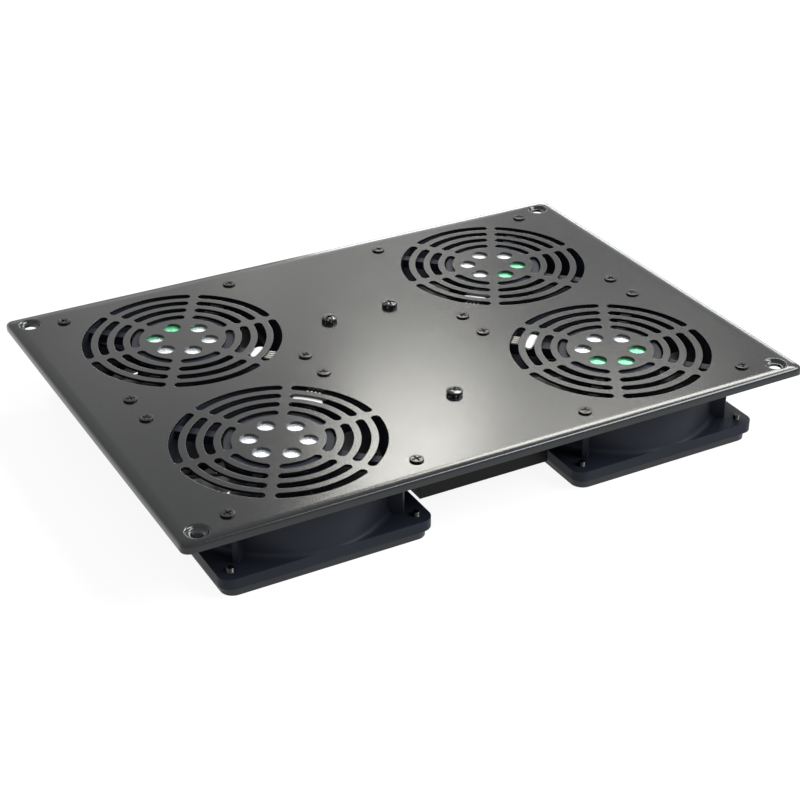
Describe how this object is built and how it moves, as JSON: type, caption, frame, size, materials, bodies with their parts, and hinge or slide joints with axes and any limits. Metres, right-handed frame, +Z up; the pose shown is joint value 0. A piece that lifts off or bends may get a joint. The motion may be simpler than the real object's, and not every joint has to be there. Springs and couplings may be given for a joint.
{
  "type": "rack fan tray",
  "caption": "Black sheet-metal rack roof tray with round slotted grilles over square axial fans, finger guards underneath, a wiring box between them and corner fixing holes.",
  "frame": {"origin": "under the plate's centre, on the plane of the finger guards' lower faces", "axes": "+X along the plate's long side, +Y from its front edge to its back edge, +Z up through the plate"},
  "size_m": [0.374, 0.268, 0.0479],
  "materials": {
    "plate_paint": "satin black powder coat",
    "box_paint": "satin black powder coat",
    "frame_paint": "black stove enamel on die-cast aluminium",
    "impeller_plastic": "black glass-filled plastic",
    "guard_plastic": "black moulded plastic, fine satin",
    "black_screw": "black zinc, satin",
    "gloss_black_screw": "gloss black",
    "zinc_steel": "bright zinc",
    "brass_spacer": "turned brass",
    "terminal_plastic": "pale moulded plastic",
    "terminal_brass": "turned brass",
    "grommet_rubber": "matt black rubber",
    "gland_plastic": "black polyamide",
    "white_insulator": "white nylon",
    "label": "silver-white film label with a plain green area",
    "lamination": "varnished electrical steel",
    "copper_winding": "enamelled copper",
    "bearing_steel": "ground steel",
    "shaft_steel": "ground steel",
    "spring_steel": "oiled spring steel",
    "rotor_aluminium": "cast aluminium cage",
    "lead_sheath": "black flexible sheath"
  },
  "bodies": {
    "tray": {"bearings_back_left": "bearing_steel", "bearings_back_right": "bearing_steel", "bearings_front_left": "bearing_steel", "bearings_front_right": "bearing_steel", "box_screws": "black_screw", "box_spacers": "brass_spacer", "cable_gland": "gland_plastic", "centre_screws": "gloss_black_screw", "fan_frame_back_left": "frame_paint", "fan_frame_back_right": "frame_paint", "fan_frame_front_left": "frame_paint", "fan_frame_front_right": "frame_paint", "fan_lead_back_left": "lead_sheath", "fan_lead_back_right": "lead_sheath", "fan_lead_front_left": "lead_sheath", "fan_lead_front_right": "lead_sheath", "fan_nuts": "zinc_steel", "fan_screws": "black_screw", "finger_guard_back_left": "guard_plastic", "finger_guard_back_right": "guard_plastic", "finger_guard_front_left": "guard_plastic", "finger_guard_front_right": "guard_plastic", "gland_nut": "gland_plastic", "grommets": "grommet_rubber", "guard_screws": "zinc_steel", "hub_label_back_left": "label", "hub_label_back_right": "label", "hub_label_front_left": "label", "hub_label_front_right": "label", "lead_covers": "white_insulator", "stator_back_left": "lamination", "stator_back_right": "lamination", "stator_front_left": "lamination", "stator_front_right": "lamination", "terminal_block": "terminal_plastic", "terminal_screws": "terminal_brass", "top_plate": "plate_paint", "winding_back_left": "copper_winding", "winding_back_right": "copper_winding", "winding_front_left": "copper_winding", "winding_front_right": "copper_winding", "wiring_box": "box_paint"},
    "rotor_front_left": {"impeller_front_left": "impeller_plastic", "shaft_front_left": "shaft_steel", "retaining_clip_front_left": "spring_steel", "rotor_ring_front_left": "rotor_aluminium"},
    "rotor_back_left": {"impeller_back_left": "impeller_plastic", "shaft_back_left": "shaft_steel", "retaining_clip_back_left": "spring_steel", "rotor_ring_back_left": "rotor_aluminium"},
    "rotor_front_right": {"impeller_front_right": "impeller_plastic", "shaft_front_right": "shaft_steel", "retaining_clip_front_right": "spring_steel", "rotor_ring_front_right": "rotor_aluminium"},
    "rotor_back_right": {"impeller_back_right": "impeller_plastic", "shaft_back_right": "shaft_steel", "retaining_clip_back_right": "spring_steel", "rotor_ring_back_right": "rotor_aluminium"}
  },
  "joints": [
    {"name": "fan_spin_front_left", "type": "hinge", "parent": "tray", "child": "rotor_front_left", "pos_m": [-0.104, -0.064, 0.025], "axis": [0, 0, 1], "continuous": true},
    {"name": "fan_spin_back_left", "type": "hinge", "parent": "tray", "child": "rotor_back_left", "pos_m": [-0.104, 0.064, 0.025], "axis": [0, 0, 1], "continuous": true},
    {"name": "fan_spin_front_right", "type": "hinge", "parent": "tray", "child": "rotor_front_right", "pos_m": [0.104, -0.064, 0.025], "axis": [0, 0, 1], "continuous": true},
    {"name": "fan_spin_back_right", "type": "hinge", "parent": "tray", "child": "rotor_back_right", "pos_m": [0.104, 0.064, 0.025], "axis": [0, 0, 1], "continuous": true}
  ]
}
